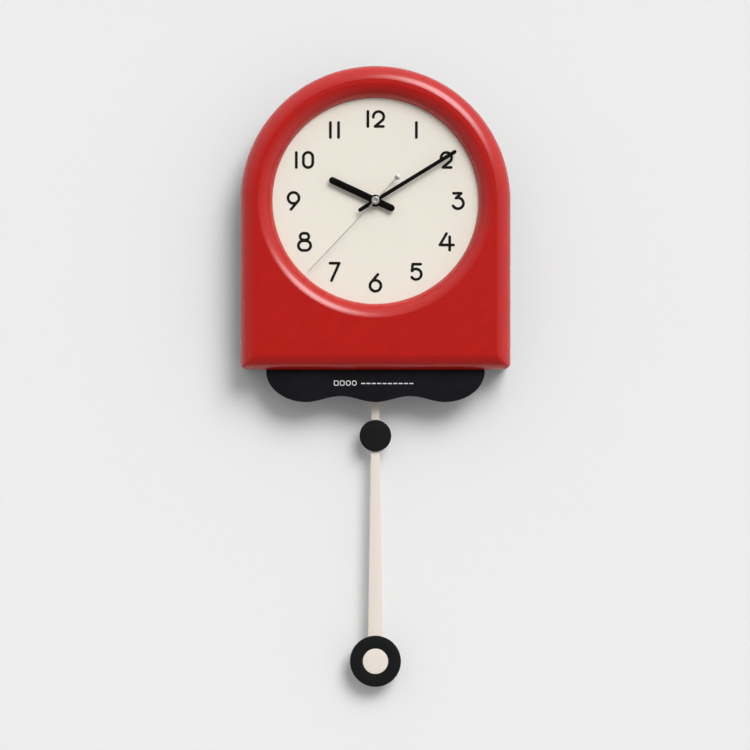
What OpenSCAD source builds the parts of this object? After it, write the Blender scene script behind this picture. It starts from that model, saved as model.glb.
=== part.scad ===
// Pendulum wall clock: an arched case with a round dial recess, a scalloped plate and a pendulum.
// Millimetres. The origin is where the wall screw seats in the hanger's keyhole, in the plane of the wall.
// Each module draws with x right, y up and z out of the wall, and on_wall() stands the drawing up:
// the finished part has z up, the wall behind it at y = 0, and faces -y.

/* [Case] */
// Width of the case
case_w = 251.5; // [220:0.5:280]
// Depth of the case, from the wall to its front face
case_depth = 46; // [44:0.5:50]
// Distance from the dial centre to the underside
case_drop = 157; // [157:1:165]
// Distance from the wall screw to the dial centre
hanger_rise = 100; // [95:1:105]
// Radius of the rounded front edge
edge_r = 15.7; // [12:0.1:18]
// Slope at which the rounded edge starts from the flat front
edge_slope = 9; // [0:1:20]
// Radius of the two lower corners, seen from the front
corner_r = 7.5; // [5:0.5:10]
// Thickness of the moulded walls
wall_t = 2.5; // [2:0.1:3]
// Radius of the opening at the foot of the lip
opening_r = 95.7; // [90:0.1:100]
// Width of the rolled lip, and so the depth of the dial below the front face
lip_r = 13; // [12:0.1:14]
// Slope at which the lip starts from the flat front
lip_slope = 10; // [0:1:20]

/* [Dial] */
// Radius of the ring on which the numerals stand
numeral_ring_r = 76.2; // [70:0.1:80]
// Width of the numerals' line
stroke_w = 2.6; // [1.5:0.1:4]
// Thickness of the dial
dial_t = 2.5; // [1.5:0.1:2.5]

/* [Hands] */
// Reach of the hour hand from the centre
hour_reach = 47.3; // [40:0.1:55]
// Width of the hour hand
hour_w = 6.4; // [4:0.1:8]
// Direction of the hour hand, clockwise from twelve
hour_angle = 295.1; // [0:0.1:360]
// Reach of the minute hand from the centre
minute_reach = 88; // [70:0.1:90]
// Width of the minute hand
minute_w = 3.6; // [2:0.1:5]
// Direction of the minute hand, clockwise from twelve
minute_angle = 58.5; // [0:0.1:360]
// Reach of the second hand from the centre
second_reach = 90.6; // [70:0.1:91]
// Direction of the second hand, clockwise from twelve
second_angle = 223.4; // [0:0.1:360]

/* [Scalloped plate] */
// Half width of the plate
plate_half_w = 101.8; // [90:0.1:102]
// Thickness of the plate
plate_t = 3; // [2:0.1:3]
// Distance between the middles of two lobes
lobe_pitch = 64.7; // [60:0.1:70]
// Distance from the dial centre down to the lobes' lowest points
lobe_drop = 187.2; // [180:0.1:195]
// Height of the scallops
scallop_h = 5.5; // [0:0.1:10]

/* [Pendulum] */
// Distance from the dial centre down to the pivot
pivot_drop = 110; // [108:1:112]
// Distance from the dial centre down to the middle of the small disc
accent_drop = 218.9; // [205:0.1:260]
// Radius of the small disc
accent_r = 14.85; // [10:0.1:20]
// Distance from the dial centre down to the middle of the bob
bob_drop = 430.1; // [380:0.1:460]
// Radius of the bob
bob_r = 23.9; // [20:0.1:30]
// Radius of the bob's centre disc
bob_centre_r = 11.95; // [8:0.1:16]
// Width of the rod at the bob
rod_w = 14.3; // [10:0.1:18]
// How much wider the rod gets for each millimetre down
rod_taper = 0.0306; // [0:0.0001:0.035]

/* [Movement] */
// Radius of an AA cell
cell_r = 7.1; // [6.8:0.1:7.2]
// Length of an AA cell
cell_length = 50.5; // [49:0.1:50.5]
// Radius of the threaded bushing that carries the dial
bushing_r = 4; // [3.8:0.1:4]

/* [Hidden] */
$fn = 96;

half_w = case_w / 2;
edge_centre = case_depth - edge_r * cos(edge_slope);
lip_ring_r = opening_r + lip_r;
lip_arc_r = lip_r / (cos(lip_slope) - sin(lip_slope));
lip_arc_centre = [lip_ring_r + lip_arc_r * sin(lip_slope), case_depth - lip_arc_r * cos(lip_slope)];
dial_front = case_depth - lip_r;
dial_back = dial_front - dial_t;
dial_r = opening_r + 3.3;

// back cover, set in behind the rim so that screw heads clear the wall
cover_low = 1.5;
cover_high = 3.5;
cover_gap = 0.3;
cover_boss_r = 3.5;
cover_boss_ring = half_w - 9.5;
cover_boss_places = [
    [cover_boss_ring * cos(62), cover_boss_ring * sin(62)],
    [-cover_boss_ring * cos(62), cover_boss_ring * sin(62)],
    [cover_boss_ring, 0], [-cover_boss_ring, 0],
    [half_w - 11, 11 - case_drop], [11 - half_w, 11 - case_drop]];

// keyhole for the wall screw
key_entry_r = 4.5;
key_slot_w = 4.4;
key_drop = 10;

// screws that clamp the dial
dial_boss_ring = dial_r + 3.5;
dial_boss_r = 2.5;

// scalloped plate and its four bosses
plate_front = case_depth - 16;
plate_back = plate_front - plate_t;
plate_top = 11.5 - case_drop;
plate_boss_y = 7 - case_drop;
plate_boss_xs = [-92, -50, 50, 92];

// slot in the underside for the scalloped plate and the pendulum
slot_low = 4;
slot_high = plate_front + 0.3;
slot_half = plate_half_w + 0.7;

// movement box, centred on the dial
move_half_w = 28;
move_top = 28;
move_bottom = -29;
move_back = 13.5;
move_front = 29.5;
shell_t = 1;
floor_z = move_front - shell_t;
bay_wall_y = -12.6;
cell_y = -20.3;
cell_z = 21;

// running fits of the arbors and tubes
arbor_r = 0.6;
minute_bore_r = 0.65;
minute_tube_r = 1.5;
hour_bore_r = 1.55;
hour_tube_r = 2.5;
bushing_bore_r = 2.55;
post_r = 0.5;
post_bore_r = 0.53;
fine_post_r = 0.4;
fine_bore_r = 0.43;

// gear train: teeth, modules and the directions between the arbors
second_module = 0.3;
third_module = 0.25;
drive_module = 8.5 * 2 / 72;
motion_module = 0.35;
hour_module = 8.4 * 2 / 50;
third_dir = 150;
motion_dir = 20;
knob_dir = -20;
inter_dir = 80;
rotor_dir = 10;
third_at = 8.5 * [cos(third_dir), sin(third_dir)];
motion_at = 8.4 * [cos(motion_dir), sin(motion_dir)];
knob_at = motion_at + 8.4 * [cos(knob_dir), sin(knob_dir)];
inter_at = 10.5 * [cos(inter_dir), sin(inter_dir)];
rotor_at = inter_at + 7.2 * [cos(rotor_dir), sin(rotor_dir)];
motion_phase = mesh_phase(motion_dir, 0, 12, 36);

// pendulum drive box, below the movement
drive_left = -66;
drive_right = 20;
drive_top = -106;
drive_bottom = -143;
drive_back = 20.5;
drive_front = 40;
drive_wall_x = -9.5;
drive_ears = [[-70, -112], [-70, -137], [24, -112], [24, -137]];
drive_cell = [-37.75, -124.5, 29.5];
magnet_y = -134;
hook_y = -pivot_drop - 11;
pivot_r = 1.5;
pivot_bore_r = 1.55;
arm_low = 16.6;
arm_high = 18.2;
rod_low = 12.8;
rod_high = 15.2;

// Direction of gear 2's first tooth so that it meshes with gear 1. dir points from gear 1 to gear 2.
function mesh_phase(dir, phase_1, teeth_1, teeth_2) =
    dir + 180 - (180 - (dir - phase_1) * teeth_1) / teeth_2;

function polar(r, a) = [r * cos(a), r * sin(a)];

module on_wall() {
    rotate([90, 0, 0])
        children();
}

// Drawing centred on the dial, stood up on the wall.
module at_dial() {
    on_wall()
        translate([0, -hanger_rise, 0])
            children();
}

module slab(z_low, z_high) {
    translate([0, 0, z_low])
        linear_extrude(height = z_high - z_low)
            children();
}

module peg(place, r, z_low, z_high) {
    translate([place[0], place[1], z_low])
        cylinder(h = z_high - z_low, r = r);
}

module ring(place, outer_r, bore_r, z_low, z_high) {
    difference() {
        peg(place, outer_r, z_low, z_high);
        peg(place, bore_r, z_low - 1, z_high + 1);
    }
}

module box(low, high) {
    translate(low)
        cube(high - low);
}

module round_rect(x_low, y_low, x_high, y_high, r) {
    translate([x_low + r, y_low])
        square([x_high - x_low - 2 * r, y_high - y_low]);
    translate([x_low, y_low + r])
        square([x_high - x_low, y_high - y_low - 2 * r]);
    for (x = [x_low + r, x_high - r], y = [y_low + r, y_high - r])
        translate([x, y])
            circle(r = r);
}

// Straight line with round ends.
module bar(a, b, w) {
    translate(a)
        rotate(atan2(b[1] - a[1], b[0] - a[0]))
            translate([0, -w / 2])
                square([norm(b - a), w]);
    translate(a)
        circle(d = w);
    translate(b)
        circle(d = w);
}

// Curved line with round ends, from one angle on to a larger one.
module arc_line(c, r, from, to, w) {
    reach = (r + w) / cos((to - from) / 16);
    translate(c) {
        intersection() {
            difference() {
                circle(r = r + w / 2);
                circle(r = r - w / 2);
            }
            polygon(concat([[0, 0]], [for (i = [0:8]) polar(reach, from + (to - from) * i / 8)]));
        }
        translate(polar(r, from))
            circle(d = w);
        translate(polar(r, to))
            circle(d = w);
    }
}

// Closed loop line, longer one way than the other.
module loop_line(c, half_x, half_y, w) {
    translate(c)
        difference() {
            oval(half_x + w / 2, half_y + w / 2);
            oval(half_x - w / 2, half_y - w / 2);
        }
}

module oval(half_x, half_y) {
    r = min(half_x, half_y);
    for (s = [-1, 1])
        translate([s * (half_x - r), s * (half_y - r)])
            circle(r = r);
    square([2 * max(half_x - r, 0.01), 2 * half_y], center = true);
    square([2 * half_x, 2 * max(half_y - r, 0.01)], center = true);
}

module gear(place, teeth, mod, phase, z_low, z_high) {
    pitch_r = teeth * mod / 2;
    tip_r = pitch_r + 0.85 * mod;
    root_r = pitch_r - 1.15 * mod;
    step = 360 / teeth;
    translate([place[0], place[1], 0])
        slab(z_low, z_high)
            polygon([for (i = [0:teeth - 1])
                let (a = phase + i * step)
                    each [polar(root_r, a - 0.28 * step), polar(tip_r, a - 0.12 * step),
                        polar(tip_r, a + 0.12 * step), polar(root_r, a + 0.28 * step)]]);
}

// Screw driven from the back: a flat head with a slot, then its shank.
module back_screw(place, head_r, head_t, shank_r, seat_z, length) {
    difference() {
        union() {
            peg(place, head_r, seat_z - head_t, seat_z);
            peg(place, shank_r, seat_z - head_t / 2, seat_z + length);
        }
        for (a = [0, 90])
            translate([place[0], place[1], seat_z - head_t])
                rotate(a)
                    cube([head_r * 1.2, 0.7, head_t], center = true);
    }
}

// Half section of the case: flat front and rounded outer edge, offset inwards by inset.
module edge_section(inset, back) {
    half = half_w - inset;
    front = case_depth - inset;
    r = edge_r - inset;
    translate([0, back])
        square([half - r, front - back]);
    translate([0, back])
        square([half, edge_centre - back]);
    translate([half - r, edge_centre])
        circle(r = r);
}

module case_solid(inset, back) {
    low = inset - case_drop;
    front = case_depth - inset;
    r = edge_r - inset;
    corner = corner_r - inset;
    half = half_w - inset;
    intersection() {
        union() {
            rotate_extrude(angle = 180)
                edge_section(inset, back);
            rotate([90, 0, 0])
                linear_extrude(height = case_drop - inset)
                    union() {
                        edge_section(inset, back);
                        mirror([1, 0])
                            edge_section(inset, back);
                    }
        }
        rotate([90, 0, 90])
            translate([0, 0, -half - 1])
                linear_extrude(height = 2 * half + 2)
                    union() {
                        translate([low + r, back - 1])
                            square([half_w - low, front - back + 1]);
                        translate([low, back - 1])
                            square([2 * r, edge_centre - back + 1]);
                        translate([low + r, edge_centre])
                            circle(r = r);
                    }
        slab(back - 1, front)
            union() {
                translate([-half - 1, low + corner])
                    square([2 * half + 2, half_w - low + 1]);
                translate([corner - half, low])
                    square([2 * half - 2 * corner, 2 * corner]);
                for (s = [-1, 1])
                    translate([s * (half - corner), low + corner])
                        circle(r = corner);
            }
    }
}

module front_case() {
    color([0.7, 0.12, 0.1])
    at_dial()
        difference() {
            union() {
                difference() {
                    case_solid(0, 0);
                    case_solid(wall_t, -1);
                    peg([0, 0], lip_ring_r, dial_front, case_depth + 1);
                }
                rotate_extrude()
                    intersection() {
                        translate(lip_arc_centre)
                            difference() {
                                circle(r = lip_arc_r);
                                circle(r = lip_arc_r - wall_t);
                            }
                        translate([opening_r - 1, dial_front])
                            square([lip_r + 1.5, lip_r]);
                    }
                for (p = cover_boss_places)
                    peg(p, cover_boss_r, cover_high, case_depth - 4.5);
                for (a = [45:90:315])
                    peg(polar(dial_boss_ring, a), dial_boss_r, dial_back, dial_front + 7.9);
                for (x = plate_boss_xs)
                    peg([x, plate_boss_y], 3.5, plate_front, case_depth - 6.5);
                for (p = drive_ears)
                    peg(p, 3.5, drive_front, case_depth - 2);
            }
            box([-slot_half, -case_drop - 1, slot_low], [slot_half, 3 - case_drop, slot_high]);
            for (p = cover_boss_places)
                peg(p, 1.25, cover_high - 1, cover_high + 12);
            for (a = [45:90:315])
                peg(polar(dial_boss_ring, a), 0.9, dial_back - 1, dial_back + 7);
            for (x = plate_boss_xs)
                peg([x, plate_boss_y], 1.25, plate_front - 1, plate_front + 7);
            for (p = drive_ears)
                peg(p, 1.25, drive_front - 1, case_depth - 2.5);
        }
}

module keyhole() {
    translate([0, hanger_rise - key_drop])
        circle(r = key_entry_r);
    translate([0, hanger_rise])
        circle(d = key_slot_w);
    translate([-key_slot_w / 2, hanger_rise - key_drop])
        square([key_slot_w, key_drop]);
}

module cover_outline() {
    half = half_w - wall_t - cover_gap;
    low = wall_t + cover_gap - case_drop;
    corner = corner_r - wall_t - cover_gap;
    circle(r = half);
    round_rect(-half, low, half, 2 * corner, corner);
}

module back_cover() {
    color([0.16, 0.16, 0.17])
    at_dial()
        slab(cover_low, cover_high)
            difference() {
                cover_outline();
                keyhole();
                round_rect(-33, -33, 33, 33, 4);
                round_rect(drive_left + 1, drive_bottom + 8, drive_wall_x - 1, drive_top - 8, 3);
                for (p = cover_boss_places)
                    translate(p)
                        circle(r = 1.5);
                for (s = [-1, 1])
                    translate([s * 11, hanger_rise - 5])
                        circle(r = 1.6);
                for (x = [-70:20:70], s = [-1, 1])
                    if (abs(x) > 25)
                        translate([x, 0])
                            bar([0, s * 52], [0, s * 66], 2.5);
            }
}

module cover_screws() {
    color([0.6, 0.6, 0.62])
    at_dial()
        for (p = cover_boss_places)
            back_screw(p, 2.8, 1.2, 1.2, cover_low, 11);
}

module hanger_plate() {
    color([0.62, 0.63, 0.65])
    at_dial()
        slab(cover_high, cover_high + 1.2)
            difference() {
                round_rect(-16, hanger_rise - 18, 16, hanger_rise + 6, 3);
                keyhole();
                for (s = [-1, 1])
                    translate([s * 11, hanger_rise - 5])
                        circle(r = 1.6);
            }
}

module hanger_rivets() {
    color([0.7, 0.7, 0.72])
    at_dial()
        for (s = [-1, 1]) {
            peg([s * 11, hanger_rise - 5], 2.6, cover_low - 0.9, cover_low);
            peg([s * 11, hanger_rise - 5], 1.55, cover_low - 0.5, cover_high + 1.6);
            peg([s * 11, hanger_rise - 5], 2.4, cover_high + 1.2, cover_high + 2);
        }
}

module dial_plate() {
    color([0.92, 0.88, 0.82])
    at_dial()
        ring([0, 0], dial_r, bushing_r + 0.1, dial_back, dial_front);
}

module digit_1(h) {
    bar([0, stroke_w / 2 - h / 2], [0, h / 2 - stroke_w / 2], stroke_w);
}

module digit_2() {
    arc_line([0, 2.05], 4.9, -38, 185, stroke_w);
    bar([3.86, -0.97], [-3.3, -6.95], stroke_w);
    bar([-3.3, -6.95], [4.5, -6.95], stroke_w);
}

module digit_3() {
    bar([-3.5, 7.1], [3.6, 7.1], stroke_w);
    bar([3.6, 7.1], [-1.2, 2.55], stroke_w);
    arc_line([0.6, -2.2], 5.1, -152, 110, stroke_w);
}

module digit_4() {
    bar([0.1, 7.7], [-6, -2.9], stroke_w);
    bar([-6, -2.9], [6.6, -2.9], stroke_w);
    bar([3.1, 4.7], [3.1, -7.7], stroke_w);
}

module digit_5() {
    bar([4, 7.1], [-3.4, 7.1], stroke_w);
    bar([-3.4, 7.1], [-4, 0.95], stroke_w);
    arc_line([-0.3, -2.2], 4.9, -145, 140, stroke_w);
}

module digit_6() {
    loop_line([0, -2.75], 5.1, 5.1, stroke_w);
    bar([2.3, 7.85], [-3.8, 0.65], stroke_w);
}

module digit_7() {
    bar([-4.2, 8], [4.4, 8], stroke_w);
    bar([4.4, 8], [-2.7, -8], stroke_w);
}

module digit_8() {
    loop_line([0, 4.9], 4.05, 3.1, stroke_w);
    loop_line([0, -3.5], 5.7, 4.5, stroke_w);
}

module digit_0() {
    loop_line([0, 0], 4.35, 7.05, stroke_w);
}

module numeral(n) {
    if (n == 1)
        digit_1(16.5);
    if (n == 2)
        digit_2();
    if (n == 3)
        digit_3();
    if (n == 4)
        digit_4();
    if (n == 5)
        digit_5();
    if (n == 6)
        digit_6();
    if (n == 7)
        digit_7();
    if (n == 8)
        digit_8();
    if (n == 9)
        rotate(180)
            digit_6();
    if (n == 10) {
        translate([-7.6, 0])
            digit_1(16.5);
        translate([3.35, 0])
            digit_0();
    }
    if (n == 11)
        for (s = [-1, 1])
            translate([s * 3.8, 0])
                digit_1(16.5);
    if (n == 12) {
        translate([-7, 0])
            digit_1(16.5);
        translate([2.9, 0])
            digit_2();
    }
}

module dial_numerals() {
    color([0.04, 0.04, 0.04])
    at_dial()
        slab(dial_front, dial_front + 0.15)
            for (n = [1:12])
                translate(polar(numeral_ring_r, 90 - 30 * n))
                    numeral(n);
}

module dial_screws() {
    color([0.6, 0.6, 0.62])
    at_dial()
        for (a = [45:90:315])
            back_screw(polar(dial_boss_ring, a), 4.8, 1.2, 0.85, dial_back, 6.5);
}

// Lower edge of the scalloped plate: a wave of three lobes between two quarter ellipses.
module plate_outline() {
    side_top = -case_drop - 1.5;
    side_h = lobe_drop - case_drop - 1.5;
    side_w = plate_half_w - lobe_pitch;
    mean_y = scallop_h / 2 - lobe_drop;
    polygon(concat(
        [[-plate_half_w, plate_top], [-plate_half_w, side_top]],
        [for (a = [5:5:85]) [-lobe_pitch - side_w * cos(a), side_top - side_h * sin(a)]],
        [for (i = [-24:24]) [lobe_pitch * i / 24, mean_y - scallop_h / 2 * cos(15 * i)]],
        [for (a = [85:-5:5]) [lobe_pitch + side_w * cos(a), side_top - side_h * sin(a)]],
        [[plate_half_w, side_top], [plate_half_w, plate_top]]));
}

module scalloped_plate() {
    color([0.1, 0.1, 0.1])
    at_dial()
        slab(plate_back, plate_front)
            difference() {
                plate_outline();
                for (x = plate_boss_xs)
                    translate([x, plate_boss_y])
                        circle(r = 1.5);
            }
}

// Plain printed ornament: four small outlines and a broken rule.
module plate_mark() {
    color([0.9, 0.9, 0.9])
    at_dial()
        slab(plate_front, plate_front + 0.12)
            translate([0, -169.5]) {
                for (i = [0:3])
                    translate([-36.5 + 5.6 * i, 0])
                        difference() {
                            round_rect(-2.2, -2.4, 2.2, 2.4, 1 + 0.35 * i);
                            round_rect(-1.5, -1.7, 1.5, 1.7, 0.4 + 0.35 * i);
                        }
                for (i = [0:9])
                    translate([-11.5 + 5 * i, -0.4])
                        round_rect(-1.9, -0.5, 1.9, 0.5, 0.45);
            }
}

module plate_screws() {
    color([0.6, 0.6, 0.62])
    at_dial()
        for (x = plate_boss_xs)
            back_screw([x, plate_boss_y], 2.8, 1.4, 1.2, plate_back, 9);
}

module movement_front_shell() {
    color([0.15, 0.15, 0.16])
    at_dial()
        difference() {
            union() {
                difference() {
                    slab(move_back + shell_t, move_front)
                        round_rect(-move_half_w, move_bottom, move_half_w, move_top, 2);
                    slab(move_back, floor_z)
                        union() {
                            round_rect(-27, bay_wall_y + 0.9, 27, move_top - 1, 1);
                            round_rect(-27, move_bottom + 1, 27, bay_wall_y, 1);
                        }
                }
                peg([0, 0], bushing_r, move_front - 0.5, dial_front + 2.6);
                peg(motion_at, post_r, 25.3, move_front - 0.5);
                peg(motion_at, 1, 28.1, move_front - 0.5);
                peg(third_at, fine_post_r, 21.4, move_front - 0.5);
                peg(third_at, 0.9, 25.2, move_front - 0.5);
                peg(inter_at, post_r, 18.2, move_front - 0.5);
                peg(inter_at, 1.2, 21.2, move_front - 0.5);
                peg(rotor_at, 1.2, 20, move_front - 0.5);
                peg(knob_at, 1.9, 27.2, move_front - 0.5);
            }
            peg([0, 0], bushing_bore_r, move_back, dial_front + 3);
            peg(rotor_at, fine_bore_r, 19, 21);
            peg(knob_at, 1.05, 27, 28.6);
        }
}

module movement_back_shell() {
    color([0.17, 0.17, 0.18])
    at_dial()
        difference() {
            union() {
                slab(move_back, move_back + shell_t)
                    round_rect(-move_half_w, move_bottom, move_half_w, move_top, 2);
                slab(move_back + 0.5, move_back + 2.5)
                    difference() {
                        round_rect(-26.8, bay_wall_y + 1.1, 26.8, move_top - 1.2, 0.9);
                        round_rect(-26, bay_wall_y + 1.9, 26, move_top - 2, 0.5);
                    }
                peg([0, 0], 1.6, move_back + 0.5, 17);
                peg(rotor_at, 1.4, move_back + 0.5, 15.6);
            }
            box([-25.6, move_bottom + 1.4, move_back - 1], [25.6, bay_wall_y - 0.3, move_back + 2]);
            peg([0, 0], 0.65, 15.1, 18);
            peg(rotor_at, fine_bore_r, 14.8, 16);
            peg(knob_at, 1.05, move_back - 1, move_back + 2);
        }
}

module fixing_nut() {
    color([0.75, 0.62, 0.3])
    at_dial()
        difference() {
            translate([0, 0, dial_front])
                cylinder(h = 2, r = 5.6, $fn = 6);
            peg([0, 0], bushing_r + 0.05, dial_front - 1, dial_front + 3);
        }
}

module rubber_washer() {
    color([0.08, 0.08, 0.08])
    at_dial()
        ring([0, 0], 12, bushing_r + 0.1, move_front, dial_back);
}

module hour_wheel() {
    color([0.93, 0.93, 0.9])
    at_dial()
        difference() {
            union() {
                gear([0, 0], 40, hour_module, mesh_phase(motion_dir + 180, 0, 10, 40), 27, 28);
                peg([0, 0], hour_tube_r, 27, 37.6);
            }
            peg([0, 0], hour_bore_r, 26, 39);
        }
}

module motion_wheel() {
    color([0.93, 0.93, 0.9])
    at_dial()
        difference() {
            union() {
                gear(motion_at, 36, motion_module, motion_phase, 25.6, 26.6);
                gear(motion_at, 10, hour_module, 0, 26.5, 28);
            }
            peg(motion_at, post_bore_r, 25, 29);
        }
}

module cannon_pinion() {
    color([0.8, 0.65, 0.3])
    at_dial()
        difference() {
            union() {
                gear([0, 0], 12, motion_module, 0, 25.4, 26.8);
                peg([0, 0], minute_tube_r, 23.2, 39.6);
            }
            peg([0, 0], minute_bore_r, 22, 41);
        }
}

module minute_drive_wheel() {
    color([0.93, 0.93, 0.9])
    at_dial()
        difference() {
            union() {
                gear([0, 0], 64, drive_module, mesh_phase(third_dir + 180, 0, 8, 64), 24, 24.8);
                peg([0, 0], 2.6, 23.5, 24.5);
            }
            peg([0, 0], minute_tube_r + 0.03, 23, 26);
        }
}

module third_wheel() {
    color([0.93, 0.93, 0.9])
    at_dial()
        difference() {
            union() {
                gear(third_at, 60, third_module, mesh_phase(third_dir, 0, 8, 60), 21.6, 22.4);
                gear(third_at, 8, drive_module, 0, 22.3, 25);
            }
            peg(third_at, fine_bore_r, 21, 26);
        }
}

module second_wheel() {
    color([0.85, 0.7, 0.35])
    at_dial()
        union() {
            gear([0, 0], 60, second_module, 0, 20, 20.8);
            gear([0, 0], 8, third_module, 0, 21.4, 22.6);
            peg([0, 0], 1.3, 19.6, 21);
            peg([0, 0], arbor_r, 15.3, 41.8);
        }
}

module intermediate_wheel() {
    color([0.93, 0.93, 0.9])
    at_dial()
        difference() {
            union() {
                gear(inter_at, 10, second_module, mesh_phase(inter_dir, 0, 60, 10), 19.3, 21);
                gear(inter_at, 40, second_module, 0, 18.6, 19.4);
            }
            peg(inter_at, post_bore_r, 18, 22);
        }
}

module rotor() {
    color([0.3, 0.3, 0.32])
    at_dial()
        union() {
            gear(rotor_at, 8, second_module, mesh_phase(rotor_dir, 0, 40, 8), 18, 19.6);
            peg(rotor_at, 2.8, 16, 18);
            peg(rotor_at, fine_post_r, 15, 20.6);
        }
}

module stator() {
    color([0.55, 0.56, 0.58])
    at_dial()
        slab(16.5, 17.5)
            difference() {
                union() {
                    translate([-18, 7.6])
                        square([33, 8]);
                    translate([-18, 7.6])
                        square([4, 16.4]);
                    translate([11, 7.6])
                        square([4, 16.4]);
                    translate([-15, 19.5])
                        square([27, 2]);
                }
                translate(rotor_at)
                    circle(r = 3.1);
            }
}

module movement_coil() {
    color([0.75, 0.4, 0.2])
    at_dial()
        translate([-13.8, 20.5, 17])
            rotate([0, 90, 0])
                difference() {
                    union() {
                        cylinder(h = 24.6, r = 2.1);
                        cylinder(h = 0.8, r = 2.4);
                        translate([0, 0, 23.8])
                            cylinder(h = 0.8, r = 2.4);
                    }
                    translate([0, 0, -1])
                        cylinder(h = 27, r = 1.2);
                }
}

module movement_board() {
    color([0.1, 0.3, 0.15])
    at_dial()
        union() {
            box([-26.4, -11, 17], [-19.4, 26, 18]);
            box([-25.4, 4, 17.5], [-20.4, 9, 19.2]);
            peg([-23, 15], 1.5, 17.5, 20.5);
        }
}

// AA cell lying along x, its positive end to the right.
module cell(c) {
    nub = 1.3;
    body = cell_length - nub;
    translate([c[0] - cell_length / 2, c[1], c[2]])
        rotate([0, 90, 0])
            union() {
                cylinder(h = body, r = cell_r);
                cylinder(h = cell_length, r = 2.75);
            }
}

// Contact plate at the positive end, and a bowed leaf spring at the other.
module cell_contacts(c) {
    right = c[0] + cell_length / 2;
    left = c[0] - cell_length / 2;
    box([right, c[1] - 4.5, c[2] - 5], [right + 0.5, c[1] + 4.5, c[2] + 5]);
    box([left - 1.9, c[1] - 6.8, c[2] - 4], [left - 1.4, c[1] + 6.8, c[2] + 4]);
    slab_low = c[2] - 3;
    translate([0, 0, slab_low])
        linear_extrude(height = 6)
            intersection() {
                translate([left - 12, c[1]])
                    difference() {
                        circle(r = 12);
                        circle(r = 11.5);
                    }
                translate([left - 1.45, c[1] - 6])
                    square([2, 12]);
            }
}

module clock_battery() {
    color([0.75, 0.6, 0.2])
    at_dial()
        cell([0.5, cell_y, cell_z]);
}

module clock_contacts() {
    color([0.7, 0.7, 0.7])
    at_dial()
        cell_contacts([0.5, cell_y, cell_z]);
}

module setting_knob() {
    color([0.9, 0.9, 0.88])
    at_dial()
        union() {
            gear(knob_at, 12, motion_module, mesh_phase(knob_dir, motion_phase, 36, 12), 25.4, 26.8);
            peg(knob_at, 1, 11, 28.2);
            difference() {
                peg(knob_at, 5, 10.4, 13.1);
                for (a = [0:20:340])
                    peg(knob_at + polar(5.2, a), 0.45, 10, 14);
                translate([knob_at[0], knob_at[1], 10.4])
                    cube([6, 1, 1], center = true);
            }
        }
}

module hour_hand() {
    color([0.03, 0.03, 0.03])
    at_dial()
        rotate(-hour_angle)
            slab(36.9, 37.5)
                difference() {
                    union() {
                        bar([0, hour_w / 2 - 19.4], [0, hour_reach - hour_w / 2], hour_w);
                        circle(r = 5.6);
                    }
                    circle(r = hour_tube_r + 0.02);
                }
}

module minute_hand() {
    color([0.03, 0.03, 0.03])
    at_dial()
        rotate(-minute_angle)
            slab(38.9, 39.5)
                difference() {
                    union() {
                        bar([0, minute_w / 2 - 18.5], [0, minute_reach - minute_w / 2], minute_w);
                        circle(r = 4.8);
                    }
                    circle(r = minute_tube_r + 0.02);
                }
}

module second_hand() {
    color([0.7, 0.7, 0.72])
    at_dial()
        rotate(-second_angle)
            difference() {
                union() {
                    slab(40.6, 41)
                        polygon([[-0.95, 0], [-0.33, 11], [-0.32, second_reach],
                            [0.32, second_reach], [0.33, 11], [0.95, 0]]);
                    box([-0.4, -28, 40.6], [0.4, 0, 41]);
                    peg([0, -29.4], 2.5, 40.6, 41);
                    peg([0, 0], 2.6, 40.6, 41);
                }
                peg([0, 0], arbor_r + 0.02, 40, 42);
            }
}

module second_cap() {
    color([0.6, 0.59, 0.57])
    at_dial()
        rotate_extrude()
            difference() {
                union() {
                    translate([0, 41])
                        square([3.2, 1.5]);
                    translate([0, 41])
                        square([3.7, 1]);
                    translate([3.2, 42])
                        circle(r = 0.5);
                }
                translate([-5, 40])
                    square([5, 4]);
                translate([0, 40])
                    square([arbor_r + 0.02, 1.9]);
                translate([0, 42.1])
                    square([1.1, 1]);
            }
}

module drive_case() {
    color([0.15, 0.15, 0.16])
    at_dial()
        difference() {
            union() {
                difference() {
                    slab(drive_back + 1, drive_front)
                        round_rect(drive_left, drive_bottom, drive_right, drive_top, 2);
                    slab(drive_back, drive_front - 1)
                        union() {
                            round_rect(drive_left + 1, drive_bottom + 1, drive_wall_x - 1, drive_top - 1, 1);
                            round_rect(drive_wall_x, drive_bottom + 1, drive_right - 1, drive_top - 1, 1);
                        }
                }
                for (p = drive_ears) {
                    inner_x = p[0] < 0 ? drive_left + 0.5 : drive_right - 0.5;
                    slab(drive_front - 2, drive_front)
                        bar(p, [inner_x, p[1]], 8);
                }
                peg([-37.75, drive_bottom + 3], 2.4, drive_back + 1, drive_front - 0.5);
                peg([14, drive_top - 3.4], 2, drive_back + 1, drive_front - 0.5);
            }
            for (p = drive_ears)
                peg(p, 1.5, drive_front - 3, drive_front + 1);
            peg([-37.75, drive_bottom + 3], 0.85, drive_back, drive_back + 9);
            peg([14, drive_top - 3.4], 0.85, drive_back, drive_back + 9);
        }
}

module drive_lid() {
    color([0.17, 0.17, 0.18])
    at_dial()
        slab(drive_back, drive_back + 1)
            difference() {
                round_rect(drive_left, drive_bottom, drive_right, drive_top, 2);
                round_rect(drive_left + 1.5, -132.5, drive_wall_x - 1.5, -116.5, 1);
                translate([0, -pivot_drop])
                    circle(r = pivot_r + 0.02);
                translate([-37.75, drive_bottom + 3])
                    circle(r = 1);
                translate([14, drive_top - 3.4])
                    circle(r = 1);
            }
}

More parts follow.
